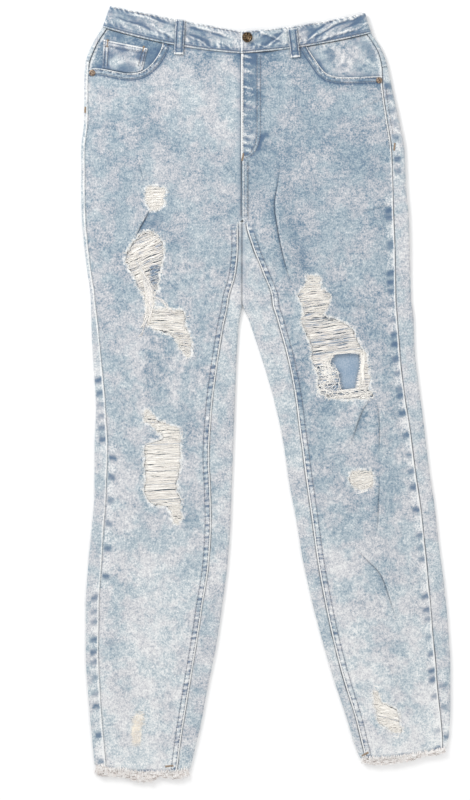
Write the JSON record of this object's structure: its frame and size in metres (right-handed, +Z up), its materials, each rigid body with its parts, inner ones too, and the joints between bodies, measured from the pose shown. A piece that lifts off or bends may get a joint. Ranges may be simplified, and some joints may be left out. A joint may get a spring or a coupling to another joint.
{
  "type": "ripped jeans",
  "caption": "Light acid-washed five-pocket jeans laid flat on their back, with torn legs bridged by white weft threads, frayed hems, belt loops, a waist button and rivets.",
  "frame": {"origin": "on the surface the jeans lie on, under the middle of their box", "axes": "+Y from the hems to the waist, +X to the right as seen from above, +Z up, out of the front"},
  "size_m": [0.498, 1.049, 0.0134],
  "materials": {
    "denim": "matte acid-washed twill",
    "plain_denim": "matte twill",
    "weft": "matte cotton thread",
    "bronze": "dark worn bronze",
    "copper": "worn copper"
  },
  "bodies": {
    "root": {"front_left": "denim", "front_right": "denim", "waistband_left": "denim", "waistband_right": "denim", "belt_loop_left": "denim", "belt_loop_right": "denim", "belt_loop_back_left": "denim", "belt_loop_back_centre": "denim", "belt_loop_back_right": "denim", "coin_pocket": "denim", "back_pocket_left": "denim", "back_pocket_right": "denim", "back_left": "plain_denim", "back_right": "plain_denim", "yoke_left": "plain_denim", "yoke_right": "plain_denim", "pocket_facing_left": "plain_denim", "pocket_facing_right": "plain_denim", "zip_tape": "plain_denim", "weft_left_hip": "weft", "weft_left_thigh": "weft", "weft_left_above_knee": "weft", "weft_left_knee": "weft", "weft_right_knee": "weft", "weft_right_shin": "weft", "weft_right_ankle": "weft", "hem_fringe_left": "weft", "hem_fringe_right": "weft", "button": "bronze", "rivet_left": "copper", "rivet_right": "copper"}
  },
  "joints": []
}
